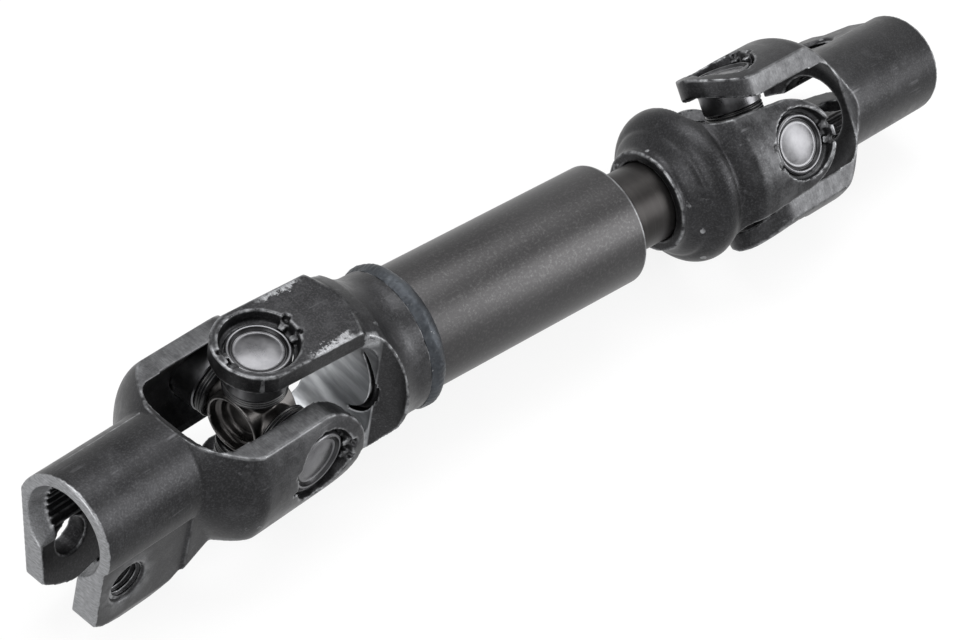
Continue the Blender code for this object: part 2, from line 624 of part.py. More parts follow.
def cup_profile():
    """A drawn cup, open towards the joint's centre, with a round rim and a ring groove in its face."""
    foot = CUP_FACE - CUP_LENGTH
    inner = CUP_RADIUS - CUP_WALL
    rim = arc(CUP_FACE - CUP_RIM_ROUND, CUP_RADIUS - CUP_RIM_ROUND, CUP_RIM_ROUND, 90, 0, 3)
    groove = CUP_RADIUS - 2 * CUP_RIM_ROUND
    face = CUP_FACE - CUP_GROOVE_DEPTH
    floor = CUP_FACE - CUP_FLOOR
    inside = [(floor, 0.0), (floor, inner), (foot, inner), (foot, CUP_RADIUS)]
    return [*inside, *rim, (face, groove), (face, 0.0)]


def needle_mesh():
    """The full set of needle rollers as one ring with a round-backed roller at each place."""
    inner = JOURNAL_RADIUS + FIT
    outer = CUP_RADIUS - CUP_WALL - FIT
    low = CUP_FACE - CUP_LENGTH + 2 * FIT
    high = CUP_FACE - CUP_FLOOR - FIT
    middle = (inner + outer) / 2
    roller = (outer - inner) / 2
    ring = []
    for i in range(NEEDLE_COUNT):
        for share, bulge in ((-0.5, 0.4), (0.0, 1.0)):
            angle = 2 * pi * (i + share) / NEEDLE_COUNT
            radius = middle + roller * bulge
            ring.append((radius * cos(angle), radius * sin(angle)))
    return ring, inner, low, high


def seal_profile():
    """A ribbed rubber ring between the cross's shoulder and the open end of the cup."""
    end = CUP_FACE - CUP_LENGTH - FIT
    start = end - SEAL_LENGTH
    inner = SHOULDER_RADIUS + FIT
    outer = CUP_RADIUS - FIT / 3
    rib = SEAL_LENGTH / 4
    ribs = [(end - rib, outer - SEAL_RIB), (end - 2 * rib, outer), (end - 3 * rib, outer - SEAL_RIB)]
    return [(start, inner), (end, inner), (end, outer), *ribs, (start, outer)]


def hub_well_mesh():
    """The stepped hollow in one end of the hub, opening towards +X."""
    step = HUB_HALF_LENGTH - HUB_RECESS_DEPTH
    floor = step - HUB_WELL_DEPTH
    mouth = HUB_RADIUS - HUB_RIM
    outside = HUB_HALF_LENGTH + OVER
    well = [(floor, 0.0), (floor, mouth - HUB_STEP), (step, mouth)]
    return turned_mesh([*well, (outside, mouth), (outside, 0.0)], HUB_SIDES)


def trunnion_pair_mesh(axis):
    """Two trunnions in line: a shoulder inside the seals, and a journal inside the needles."""
    shoulder = CUP_FACE - CUP_LENGTH - FIT
    end = CUP_FACE - CUP_FLOOR - FIT
    half = [(shoulder, SHOULDER_RADIUS), (shoulder + FIT, JOURNAL_RADIUS),
            (end - JOURNAL_CHAMFER, JOURNAL_RADIUS), (end, JOURNAL_RADIUS - JOURNAL_CHAMFER)]
    profile = [(-x, radius) for x, radius in reversed(half)] + half
    mesh = turned_mesh([(-end, 0.0)] + profile + [(end, 0.0)], TRUNNION_SIDES)
    mesh.transform(along(axis, 1))
    return mesh


def cross(name, parent):
    """Two crossed pairs of trunnions joined by a hub that is hollow at both ends."""
    made = part(name, trunnion_pair_mesh("Z"), CROSS, parent)
    shaped(made, "UNION", "second_pair", trunnion_pair_mesh("Y"))
    hub = rod_mesh(HUB_RADIUS, -HUB_HALF_LENGTH, HUB_HALF_LENGTH, "X", HUB_SIDES)
    shaped(made, "UNION", "hub", hub)
    for turn, label in ((0.0, "front"), (pi, "back")):
        well = hub_well_mesh()
        well.transform(Matrix.Rotation(turn, 4, "Z"))
        shaped(made, "DIFFERENCE", label + "_well", well)
    return welded(made)


def bearing(name, parent, axis, side):
    """A cup, its needles and its seal on one trunnion."""
    place = along(axis, side)
    part(name + "_cup", turned_mesh(cup_profile(), CUP_SIDES), BRIGHT, parent, place)
    ring, inner, low, high = needle_mesh()
    needles = part(name + "_needles", outline_mesh(ring, low, high, "YZ"), BRIGHT, parent, place)
    shaped(needles, "DIFFERENCE", "bore", rod_mesh(inner, low - OVER, high + OVER, "X", 2 * NEEDLE_COUNT))
    part(name + "_seal", turned_mesh(seal_profile(), SEAL_SIDES), RUBBER, parent, place)


def build():
    sleeve = empty("sleeve_axis")
    sleeve_fork(sleeve)
    weld_bead(sleeve)
    sleeve_tube(sleeve)
    slide_bush(sleeve)
    bearing("sleeve_top", sleeve, "Z", 1)
    bearing("sleeve_bottom", sleeve, "Z", -1)

    lower_turn = empty("lower_spider_axis", sleeve, (0, 0, 0), (("Z", LOWER_SPIDER_TURN),))
    cross("lower_spider", lower_turn)
    lower = empty("lower_clamp_axis", lower_turn, (0, 0, 0), (("Y", LOWER_CLAMP_TILT),))
    lengths = (LOWER_CLAMP_LENGTH, LOWER_EAR_LENGTH, LOWER_ARM_UNDERSIDE)
    clamp_fork("lower_clamp_yoke", lower, lengths, Matrix.Rotation(pi, 4, "Z"), 1)
    bearing("lower_clamp_front", lower, "Y", -1)
    bearing("lower_clamp_back", lower, "Y", 1)

    shaft = empty("shaft_slide", sleeve)
    inner_shaft(shaft)
    phase = empty("shaft_fork_axis", shaft, (JOINT_SPACING, 0, 0), (("X", SHAFT_FORK_PHASE),))
    shaft_fork(phase)
    bearing("shaft_front", phase, "Z", 1)
    bearing("shaft_back", phase, "Z", -1)

    upper_turn = empty("upper_spider_axis", phase, (0, 0, 0), (("Z", UPPER_SPIDER_TURN),))
    cross("upper_spider", upper_turn)
    upper = empty("upper_clamp_axis", upper_turn, (0, 0, 0), (("Y", UPPER_CLAMP_TILT),))
    lengths = (UPPER_CLAMP_LENGTH, UPPER_EAR_LENGTH, UPPER_ARM_UNDERSIDE)
    clamp_fork("upper_clamp_yoke", upper, lengths, Matrix.Identity(4), 1)
    bearing("upper_clamp_top", upper, "Y", 1)
    bearing("upper_clamp_bottom", upper, "Y", -1)
    return sleeve


def stand_on_origin(root):
    """Moves the whole shaft so that the middle of its underside is at the origin."""
    bpy.context.view_layer.update()
    graph = bpy.context.evaluated_depsgraph_get()
    corners = []
    for obj in PARTS.objects:
        if obj.type != "MESH":
            continue
        evaluated = obj.evaluated_get(graph)
        mesh = evaluated.to_mesh()
        corners += [evaluated.matrix_world @ vertex.co for vertex in mesh.vertices]
        evaluated.to_mesh_clear()
    low = Vector([min(point[i] for point in corners) for i in range(3)])
    high = Vector([max(point[i] for point in corners) for i in range(3)])
    middle = (low + high) / 2
    root.location = Vector((-middle.x, -middle.y, -low.z))
    bpy.context.view_layer.update()


stand_on_origin(build())
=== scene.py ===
import json
from math import asin, cos, degrees, hypot, pi, radians, sin, tan

import bmesh
import bpy
from mathutils import Matrix, Vector, noise


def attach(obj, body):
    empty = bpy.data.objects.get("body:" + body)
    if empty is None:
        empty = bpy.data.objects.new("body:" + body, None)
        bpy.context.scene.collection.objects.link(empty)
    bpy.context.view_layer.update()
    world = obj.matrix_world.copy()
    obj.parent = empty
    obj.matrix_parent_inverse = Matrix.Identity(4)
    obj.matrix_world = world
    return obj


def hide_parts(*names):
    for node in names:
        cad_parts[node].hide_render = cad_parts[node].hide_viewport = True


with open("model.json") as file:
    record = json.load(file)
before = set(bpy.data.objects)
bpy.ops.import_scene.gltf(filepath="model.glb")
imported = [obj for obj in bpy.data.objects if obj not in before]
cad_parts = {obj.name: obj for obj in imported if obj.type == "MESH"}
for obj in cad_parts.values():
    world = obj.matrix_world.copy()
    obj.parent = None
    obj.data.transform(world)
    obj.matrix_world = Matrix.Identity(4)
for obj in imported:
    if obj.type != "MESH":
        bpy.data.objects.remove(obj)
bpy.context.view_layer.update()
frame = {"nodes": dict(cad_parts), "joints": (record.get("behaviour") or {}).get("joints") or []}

MM = 0.001
JOINTS = {joint["name"]: joint for joint in frame["joints"]}
LOWER_JOINT = Vector(JOINTS["lower_cross_turn"]["pos_m"])
UPPER_JOINT = Vector(JOINTS["upper_cross_turn"]["pos_m"])


def turned_frame(origin, *turns):
    """The frame at a joint after turns about its own axes, in degrees."""
    place = Matrix.Translation(origin)
    for axis, angle in turns:
        place = place @ Matrix.Rotation(radians(angle), 4, axis)
    return place


# Every piece is shaped in millimetres in the frame of its joint, shank along +X
SLEEVE = turned_frame(LOWER_JOINT)
LOWER_CROSS = turned_frame(LOWER_JOINT, ("Z", 9.0))
LOWER_CUPS = LOWER_CROSS @ Matrix.Rotation(radians(6.5), 4, "Y")
LOWER_CLAMP = LOWER_CUPS @ Matrix.Rotation(pi, 4, "Z")
SHAFT_CUPS = turned_frame(UPPER_JOINT, ("X", 47.5))
SHAFT_FORK = SHAFT_CUPS @ Matrix.Rotation(pi, 4, "Z")
UPPER_CROSS = SHAFT_CUPS @ Matrix.Rotation(radians(-0.5), 4, "Z")
UPPER_CLAMP = UPPER_CROSS @ Matrix.Rotation(radians(6.9), 4, "Y")

FIT = 0.3
CUP_RADIUS = 8.0
CUP_FACE = 21.6
CUP_LENGTH = 9.8
ARM_OUTER = 24.3
ARM_THICKNESS = 5.3
ARM_INNER = ARM_OUTER - ARM_THICKNESS
SLEEVE_RADIUS = 16.4
SLEEVE_WALL = 2.7
SLEEVE_END = 112.7
COLLAR_END = 40.5
COLLAR_RADIUS = 18.3
SPLINE_ROOT = 11.1
SHAFT_RADIUS = 10.9
SPACING = 164.7
CLAMP_TUBE = 14.2
CLAMP_ARM_OUTER = 24.2
CLAMP_ARM_HALF_HEIGHT = 12.4
LOWER_LENGTH = 61.5
UPPER_LENGTH = 66.7
UPPER_EAR_LENGTH = 60.0
SERRATION_ROOT = 9.8
SERRATION_TIP = 9.15
SERRATIONS_START = 33.5
EAR_DEPTH = 24.8
EAR_NEAR = 13.9
EAR_LEAN = 12.2
PRESSED_FLAT = EAR_NEAR - 0.8
BOLT_DROP = 12.0
BOLT_INSET = 9.4


# Mesh helpers

def mesh_of(points, faces):
    mesh = bpy.data.meshes.new("shape")
    mesh.from_pydata(points, [], faces)
    shape = bmesh.new()
    shape.from_mesh(mesh)
    bmesh.ops.recalc_face_normals(shape, faces=shape.faces)
    shape.to_mesh(mesh)
    shape.free()
    return mesh


def revolved(profile, sides, wobble=None):
    """(x, radius) points turned round X. wobble(x, radius, angle) moves a point's radius."""
    points, rings, faces = [], [], []
    for x, radius in profile:
        if radius == 0.0:
            rings.append([len(points)] * sides)
            points.append((x, 0.0, 0.0))
            continue
        rings.append(list(range(len(points), len(points) + sides)))
        for i in range(sides):
            angle = 2 * pi * i / sides
            r = radius + (wobble(x, radius, angle) if wobble else 0.0)
            points.append((x, r * cos(angle), r * sin(angle)))
    closed = profile[0][1] > 0.0
    for a in range(len(rings) - (0 if closed else 1)):
        low, high = rings[a], rings[(a + 1) % len(rings)]
        for i in range(sides):
            j = (i + 1) % sides
            corners = [low[i], low[j], high[j], high[i]]
            faces.append(list(dict.fromkeys(corners)))
    return mesh_of(points, faces)


def prism(outline, low, high, plane):
    """A flat outline with thickness, in the XY, XZ or YZ plane."""
    place = {"XY": lambda u, v, w: (u, v, w), "XZ": lambda u, v, w: (u, w, v),
             "YZ": lambda u, v, w: (w, u, v)}[plane]
    count = len(outline)
    points = [place(u, v, low) for u, v in outline] + [place(u, v, high) for u, v in outline]
    faces = [list(range(count)), list(range(count, 2 * count))]
    for i in range(count):
        j = (i + 1) % count
        faces.append([i, j, count + j, count + i])
    return mesh_of(points, faces)


def held(mesh):
    """A throwaway object, only there to run modifiers."""
    obj = bpy.data.objects.new("tool", mesh)
    bpy.context.scene.collection.objects.link(obj)
    return obj


def applied(obj):
    bpy.context.view_layer.update()
    graph = bpy.context.evaluated_depsgraph_get()
    mesh = bpy.data.meshes.new_from_object(obj.evaluated_get(graph))
    bpy.data.objects.remove(obj, do_unlink=True)
    return mesh


def carved(base, steps):
    """The base after a list of (operation, mesh) Booleans."""
    obj = held(base)
    tools = []
    for operation, mesh in steps:
        tool = held(mesh)
        tools.append(tool)
        step = obj.modifiers.new("step", "BOOLEAN")
        step.operation = operation
        step.solver = "MANIFOLD"
        step.object = tool
    made = applied(obj)
    for tool in tools:
        bpy.data.objects.remove(tool, do_unlink=True)
    return made


def softened(mesh, voxel=0.42, rounds=5, keep=1.0):
    """A fine even skin over the shape, with its edges worn round."""
    obj = held(mesh)
    skin = obj.modifiers.new("skin", "REMESH")
    skin.mode = "VOXEL"
    skin.voxel_size = voxel
    smooth = obj.modifiers.new("smooth", "SMOOTH")
    smooth.factor = 0.5
    smooth.iterations = rounds
    if keep < 1.0:
        fewer = obj.modifiers.new("fewer", "DECIMATE")
        fewer.ratio = keep
    return applied(obj)


def arc(u, v, radius, start, end, count):
    steps = [radians(start + (end - start) * i / (count - 1)) for i in range(count)]
    return [(u + radius * cos(a), v + radius * sin(a)) for a in steps]


def eased(start, end, low, high, count):
    made = []
    for i in range(count):
        t = i / (count - 1)
        made.append((start + (end - start) * t, low + (high - low) * t * t * (3.0 - 2.0 * t)))
    return made


def settling(start, end, high, low, count):
    shares = [i / (count - 1) for i in range(count)]
    return [(start + (end - start) * t, low + (high - low) * (1.0 - t) ** 2) for t in shares]


def mirrored(upper):
    return upper + [(u, -v) for u, v in reversed(upper)]


def along(axis, side):
    """The frame of a trunnion: its X runs out along +-Y or +-Z."""
    if axis == "Y":
        return Matrix.Rotation(side * pi / 2, 4, "Z")
    return Matrix.Rotation(-side * pi / 2, 4, "Y")


def moved(mesh, matrix):
    mesh.transform(matrix)
    return mesh


def toothed(root, tip, teeth, low, high, land):
    points = []
    for i in range(teeth):
        tooth = ((root, land / 2 - 0.5), (root, -land / 2), (tip, -0.12), (tip, 0.12), (root, land / 2))
        for radius, share in tooth:
            angle = 2 * pi * (i + share) / teeth
            points.append((radius * cos(angle), radius * sin(angle)))
    return prism(points, low, high, "YZ")


# Node helpers

class Nodes:
    """Builds one material, one node at a time."""

    def __init__(self, name, frame_at=None):
        self.material = bpy.data.materials.new(name)
        self.material.use_nodes = True
        self.tree = self.material.node_tree
        self.shader = self.tree.nodes["Principled BSDF"]
        self.place = self.add("ShaderNodeTexCoord").outputs["Object"]
        if frame_at is not None:
            back = frame_at.inverted()
            node = self.add("ShaderNodeMapping")
            self.link(self.place, node.inputs["Vector"])
            node.inputs["Location"].default_value = back.to_translation()
            node.inputs["Rotation"].default_value = back.to_euler()
            self.place = node.outputs["Vector"]
        split = self.add("ShaderNodeSeparateXYZ")
        self.link(self.place, split.inputs[0])
        self.x, self.y, self.z = split.outputs[0], split.outputs[1], split.outputs[2]

    def add(self, kind, **settings):
        node = self.tree.nodes.new(kind)
        for key, value in settings.items():
            setattr(node, key, value)
        return node

    def link(self, source, target):
        if isinstance(source, (int, float)):
            target.default_value = source
        elif isinstance(source, tuple):
            target.default_value = (*source, 1.0) if len(source) == 3 else source
        else:
            self.tree.links.new(source, target)

    def stretched(self, x, y, z):
        """Object coordinates scaled on each axis."""
        node = self.add("ShaderNodeMapping")
        self.link(self.place, node.inputs["Vector"])
        node.inputs["Scale"].default_value = (x, y, z)
        return node.outputs["Vector"]

    def noise(self, scale, detail=3.0, rough=0.55, place=None, distortion=0.0):
        node = self.add("ShaderNodeTexNoise")
        self.link(place or self.place, node.inputs["Vector"])
        node.inputs["Scale"].default_value = scale
        node.inputs["Detail"].default_value = detail
        node.inputs["Roughness"].default_value = rough
        node.inputs["Distortion"].default_value = distortion
        return node.outputs["Fac"]

    def step(self, value, low, high, to_low=0.0, to_high=1.0):
        """A clamped straight ramp."""
        node = self.add("ShaderNodeMapRange")
        self.link(value, node.inputs["Value"])
        for key, number in zip(("From Min", "From Max", "To Min", "To Max"), (low, high, to_low, to_high)):
            node.inputs[key].default_value = number
        return node.outputs["Result"]

    def math(self, operation, a, b=0.0, clamp=True):
        node = self.add("ShaderNodeMath", operation=operation)
        node.use_clamp = clamp and operation in ("ADD", "MULTIPLY", "SUBTRACT")
        self.link(a, node.inputs[0])
        self.link(b, node.inputs[1])
        return node.outputs[0]

    def length(self, a, b):
        """Distance from a = b = 0."""
        squares = self.math("ADD", self.math("POWER", a, 2.0), self.math("POWER", b, 2.0), False)
        return self.math("SQRT", squares)

    def mix(self, factor, a, b):
        node = self.add("ShaderNodeMix", data_type="RGBA")
        self.link(factor, node.inputs["Factor"])
        self.link(a, node.inputs[6])
        self.link(b, node.inputs[7])
        return node.outputs[2]

    def crest(self, low, high):
        """1 on worn outer edges of a finely meshed piece."""
        geometry = self.add("ShaderNodeNewGeometry")
        return self.step(geometry.outputs["Pointiness"], low, high)

    def surface(self, colour, roughness, metallic, heights):
        """heights: (value, strength, distance) of each bump, the broadest first."""
        self.link(colour, self.shader.inputs["Base Color"])
        self.link(roughness, self.shader.inputs["Roughness"])
        self.shader.inputs["Metallic"].default_value = metallic
        normal = None
        for value, strength, distance in heights:
            bump = self.add("ShaderNodeBump")
            bump.inputs["Strength"].default_value = strength
            bump.inputs["Distance"].default_value = distance
            self.link(value, bump.inputs["Height"])
            if normal is not None:
                self.link(normal, bump.inputs["Normal"])
            normal = bump.outputs[0]
        if normal is not None:
            self.link(normal, self.shader.inputs["Normal"])
        return self.material


def scratches(nodes, scale, turn, low, high):
    """Thin straight marks that run one way."""
    node = nodes.add("ShaderNodeMapping")
    nodes.link(nodes.place, node.inputs["Vector"])
    node.inputs["Rotation"].default_value = turn
    node.inputs["Scale"].default_value = (0.05, 1.0, 1.0)
    return nodes.step(nodes.noise(scale, 2.0, 0.5, node.outputs["Vector"]), low, high)


SHEARED = (0.30, 0.305, 0.315)
SCUFF = (0.13, 0.13, 0.137)


def oiled(nodes, dark, light):
    """Colour, roughness and bumps of dark oiled steel before wear."""
    broad = nodes.noise(60, 3.0)
    patch = nodes.noise(300, 4.0, 0.6, distortion=0.6)
    grain = nodes.noise(2300, 3.0, 0.6)
    colour = nodes.mix(nodes.step(broad, 0.35, 0.68), dark, light)
    paler = tuple(1.75 * c for c in light)
    colour = nodes.mix(nodes.step(patch, 0.52, 0.8, 0.0, 0.8), colour, paler)
    lines = scratches(nodes, 1000, (0.3, 0.5, 0.6), 0.64, 0.72)
    rub = nodes.math("MULTIPLY", nodes.step(nodes.noise(150, 3.0), 0.52, 0.66), lines)
    colour = nodes.mix(nodes.math("MULTIPLY", rub, 0.5), colour, SCUFF)
    mottle = nodes.noise(1900, 5.0, 0.75)
    colour = nodes.mix(nodes.step(mottle, 0.48, 0.74, 0.0, 0.7), colour, tuple(2.6 * c for c in light))
    rough = nodes.step(patch, 0.3, 0.75, 0.34, 0.48)
    return colour, rough, [(patch, 0.3, 0.10 * MM), (mottle, 0.35, 0.05 * MM), (grain, 0.3, 0.03 * MM)]


def forged_steel(name, frame_at, shine=(), clean_and_lit=()):
    """Dark steel, paler on worn crests. Masks turn it into bare sheared steel (shine) or into a pale silver
    (the other masks) that is partly bare steel and partly painted light.
    """
    nodes = Nodes(name, frame_at)
    colour, rough, heights = oiled(nodes, (0.0155, 0.0155, 0.0165), (0.0275, 0.0275, 0.029))
    worn = nodes.step(nodes.noise(420, 3.0), 0.36, 0.62)
    edge = nodes.math("MULTIPLY", nodes.crest(0.508, 0.54), worn)
    colour = nodes.mix(nodes.math("MULTIPLY", edge, 0.8), colour, SHEARED)
    streak = nodes.noise(2600, 3.0, 0.6, nodes.stretched(1.0, 0.25, 1.0))
    bare = nodes.mix(nodes.step(streak, 0.3, 0.7), (0.16, 0.162, 0.168), (0.31, 0.315, 0.325))
    for mask in shine:
        colour = nodes.mix(mask(nodes), colour, bare)
    # painted light: this pale silver stands partly for bare steel and partly for light falling on the fork's
    # inner side
    if clean_and_lit:
        smear = nodes.step(nodes.noise(330, 3.0, 0.5, nodes.stretched(1.0, 0.2, 1.0)), 0.45, 0.62)
        bare_and_lit_silver = nodes.mix(smear, (0.36, 0.37, 0.385), (0.56, 0.575, 0.59))
        for mask in clean_and_lit:
            colour = nodes.mix(mask(nodes), colour, bare_and_lit_silver)
    return nodes.surface(colour, rough, 0.9, heights)


def clamp_ends(length, share):
    """Masks of a clamp's sheared end face and its long mouth chamfer."""
    def mask(nodes):
        ragged = nodes.step(nodes.noise(700, 3.0), 0.3, 0.7, -0.25 * MM, 0.25 * MM)
        x = nodes.math("ADD", nodes.x, ragged, False)
        end = nodes.step(x, (length - 0.75) * MM, (length - 0.45) * MM)
        mouth = nodes.step(x, (length - 4.9) * MM, (length - 4.5) * MM)
        inner = nodes.step(nodes.length(nodes.y, nodes.z), 11.5 * MM, 11.7 * MM, 1.0, 0.0)
        both = nodes.math("MAXIMUM", end, nodes.math("MULTIPLY", mouth, inner))
        return nodes.math("MULTIPLY", both, share)
    return mask


def flat_edges(level, inside, share):
    """Mask of sheet edges that lie flat at +-level on the Z axis, short of x = inside."""
    def mask(nodes):
        height = nodes.math("ABSOLUTE", nodes.z)
        flat = nodes.step(height, (level - 0.35) * MM, (level - 0.1) * MM)
        short = nodes.step(nodes.x, (inside - 2.0) * MM, (inside + 2.0) * MM, 1.0, 0.0)
        patchy = nodes.step(nodes.noise(260, 4.0, 0.6), 0.3, 0.62, 0.25, 1.0)
        made = nodes.math("MULTIPLY", nodes.math("MULTIPLY", flat, short), patchy)
        return nodes.math("MULTIPLY", made, share)
    return mask


def rubbed(start, end, share):
    """Mask of faintly rubbed patches up to x = start, gone at x = end."""
    def mask(nodes):
        patchy = nodes.step(nodes.noise(210, 5.0, 0.65), 0.4, 0.62, 0.15, 1.0)
        near = nodes.step(nodes.x, start * MM, end * MM, 1.0, 0.0)
        return nodes.math("MULTIPLY", nodes.math("MULTIPLY", patchy, near), share)
    return mask


def bolt_scuff(bolt_x, share):
    """Mask of pale scuffs round the tapped hole on the pressed flat."""
    def mask(nodes):
        along_flat = nodes.math("SUBTRACT", nodes.x, bolt_x * MM, False)
        down_flat = nodes.math("ADD", nodes.z, BOLT_DROP * MM, False)
        near = nodes.step(nodes.length(along_flat, down_flat), 5.5 * MM, 10.0 * MM, 1.0, 0.0)
        near = nodes.math("MULTIPLY", near, nodes.step(nodes.y, 12.6 * MM, 12.9 * MM))
        patchy = nodes.step(nodes.noise(240, 4.0, 0.65), 0.38, 0.6, 0.1, 1.0)
        return nodes.math("MULTIPLY", nodes.math("MULTIPLY", near, patchy), share)
    return mask


def root_patch(share):
    """Mask of the bright sheared patches beside the roots of the sleeve fork's arms."""
    def mask(nodes):
        wide, high = nodes.math("ABSOLUTE", nodes.y), nodes.math("ABSOLUTE", nodes.z)
        ragged = nodes.step(nodes.noise(420, 4.0, 0.7), 0.3, 0.7, -1.6 * MM, 1.6 * MM)
        rim = nodes.step(nodes.math("ADD", wide, ragged, False), 9.4 * MM, 9.9 * MM)
        rim = nodes.math("MULTIPLY", rim, nodes.step(high, 23.9 * MM, 24.1 * MM))
        rim = nodes.math("MULTIPLY", rim, nodes.step(nodes.x, 6.0 * MM, 9.0 * MM))
        rim = nodes.math("MULTIPLY", rim, nodes.step(nodes.x, 18.0 * MM, 20.0 * MM, 1.0, 0.0))
        torn = nodes.step(nodes.math("ADD", nodes.x, ragged, False), 22.4 * MM, 22.9 * MM)
        torn = nodes.math("MULTIPLY", torn, nodes.step(nodes.x, 26.2 * MM, 26.8 * MM, 1.0, 0.0))
        torn = nodes.math("MULTIPLY", torn, nodes.step(wide, 10.2 * MM, 10.8 * MM))
        torn = nodes.math("MULTIPLY", torn, nodes.step(high, 17.0 * MM, 18.5 * MM))
        patchy = nodes.step(nodes.noise(700, 4.0, 0.65), 0.34, 0.5)
        both = nodes.math("MULTIPLY", nodes.math("MAXIMUM", rim, torn), patchy)
        return nodes.math("MULTIPLY", both, share)
    return mask


def bare_and_lit_inner_faces(share):
    """Mask of the inner side of the sleeve fork, from arm to arm round its root: partly bare steel and partly
    painted light, brightest low down where the bottom arm faces the light and dimmer above as painted shade.
    """
    def mask(nodes):
        inner = nodes.step(nodes.math("ABSOLUTE", nodes.z), 19.2 * MM, 19.5 * MM, 1.0, 0.0)
        short = nodes.step(nodes.x, 27.1 * MM, 27.4 * MM, 1.0, 0.0)
        root = nodes.step(nodes.x, 6.0 * MM, 11.0 * MM)
        # painted light and shade: full silver low on the fork where the bottom arm faces the light, a quarter
        # of it higher up as painted shade
        low = nodes.step(nodes.z, 4.0 * MM, 9.0 * MM, 1.0, 0.25)
        middle = nodes.step(nodes.math("ABSOLUTE", nodes.y), 11.0 * MM, 13.5 * MM, 1.0, 0.12)
        low = nodes.math("MULTIPLY", low, middle)
        made = nodes.math("MULTIPLY", nodes.math("MULTIPLY", inner, short), nodes.math("MULTIPLY", root, low))
        return nodes.math("MULTIPLY", made, share)
    return mask


def drawn_tube():
    nodes = Nodes("drawn_tube_dark", SLEEVE)
    broad = nodes.noise(55, 3.0, place=nodes.stretched(0.35, 1.0, 1.0))
    streak = nodes.noise(1300, 3.0, 0.6, nodes.stretched(0.05, 1.0, 1.0))
    grain = nodes.noise(3000, 2.0, 0.6)
    colour = nodes.mix(nodes.step(broad, 0.3, 0.72), (0.037, 0.036, 0.037), (0.055, 0.054, 0.055))
    streaks = nodes.math("MULTIPLY", nodes.step(streak, 0.5, 0.85), 0.25)
    colour = nodes.mix(streaks, colour, (0.072, 0.070, 0.069))
    lines = scratches(nodes, 620, (0.2, 0.9, 0.25), 0.68, 0.73)
    lines = nodes.math("MULTIPLY", lines, nodes.step(nodes.noise(90), 0.5, 0.62))
    colour = nodes.mix(nodes.math("MULTIPLY", lines, 0.5), colour, SCUFF)
    mottle = nodes.noise(1400, 5.0, 0.75)
    colour = nodes.mix(nodes.step(mottle, 0.5, 0.72, 0.0, 0.55), colour, (0.12, 0.118, 0.118))
    end = nodes.step(nodes.x, (SLEEVE_END - 0.9) * MM, (SLEEVE_END - 0.5) * MM, 0.0, 0.75)
    ragged = nodes.step(nodes.noise(500, 3.0), 0.3, 0.6, 0.4, 1.0)
    colour = nodes.mix(nodes.math("MULTIPLY", end, ragged), colour, SHEARED)
    rough = nodes.step(broad, 0.3, 0.75, 0.34, 0.44)
    heights = [(streak, 0.08, 0.02 * MM), (grain, 0.15, 0.012 * MM)]
    return nodes.surface(colour, rough, 0.9, heights)


def bearing_steel(name, share):
    """Bright steel. share dims it; the cups' ring groove gets it at 0.3 as painted shade."""
    nodes = Nodes(name)
    broad = nodes.noise(260, 3.0)
    grain = nodes.noise(2600, 3.0, 0.6)
    dark, light, mark = (tuple(share * c for c in tone) for tone in (
        (0.10, 0.10, 0.105), (0.165, 0.165, 0.172), (0.08, 0.08, 0.085)))
    colour = nodes.mix(nodes.step(broad, 0.35, 0.7), dark, light)
    marks = nodes.step(nodes.noise(1300, 4.0, 0.7), 0.60, 0.72)
    colour = nodes.mix(nodes.math("MULTIPLY", marks, 0.45), colour, mark)
    rough = nodes.step(broad, 0.3, 0.75, 0.26, 0.38)
    return nodes.surface(colour, rough, 0.95, [(grain, 0.2, 0.012 * MM)])


def weld_metal():
    nodes = Nodes("weld_metal_blue_grey")
    broad = nodes.noise(160, 4.0, 0.65, distortion=0.8)
    grain = nodes.noise(1100, 4.0, 0.7)
    colour = nodes.mix(nodes.step(broad, 0.35, 0.7), (0.026, 0.029, 0.034), (0.062, 0.069, 0.078))
    colour = nodes.mix(nodes.step(grain, 0.55, 0.75, 0.0, 0.5), colour, (0.10, 0.105, 0.11))
    # painted highlight: sparse pale specks that stand for glints on the weld's ripples
    painted_glints = nodes.step(nodes.noise(900, 3.0), 0.68, 0.74, 0.0, 0.7)
    colour = nodes.mix(painted_glints, colour, (0.28, 0.285, 0.29))
    rough = nodes.step(broad, 0.3, 0.75, 0.40, 0.6)
    return nodes.surface(colour, rough, 0.8, [(broad, 0.4, 0.2 * MM), (grain, 0.4, 0.08 * MM)])


def ground_steel():
    nodes = Nodes("ground_shaft_steel", SLEEVE)
    ring = nodes.noise(1800, 2.0, 0.6, nodes.stretched(1.0, 0.04, 0.04))
    broad = nodes.noise(120, 3.0)
    colour = nodes.mix(nodes.step(broad, 0.35, 0.7), (0.026, 0.0245, 0.024), (0.038, 0.036, 0.0355))
    rings = nodes.math("MULTIPLY", nodes.step(ring, 0.5, 0.75), 0.25)
    colour = nodes.mix(rings, colour, (0.062, 0.059, 0.058))
    rough = nodes.step(broad, 0.3, 0.75, 0.36, 0.48)
    return nodes.surface(colour, rough, 0.92, [(ring, 0.15, 0.015 * MM)])


def cross_steel():
    nodes = Nodes("cross_steel_dark")
    broad = nodes.noise(220, 4.0, 0.6)
    grain = nodes.noise(2400, 3.0, 0.6)
    colour = nodes.mix(nodes.step(broad, 0.35, 0.7), (0.042, 0.040, 0.039), (0.095, 0.090, 0.088))
    edge = nodes.math("MULTIPLY", nodes.crest(0.52, 0.58), nodes.step(nodes.noise(600), 0.35, 0.6))
    colour = nodes.mix(nodes.math("MULTIPLY", edge, 0.85), colour, (0.36, 0.35, 0.35))
    rough = nodes.step(broad, 0.3, 0.75, 0.26, 0.42)
    return nodes.surface(colour, rough, 0.92, [(grain, 0.25, 0.02 * MM)])


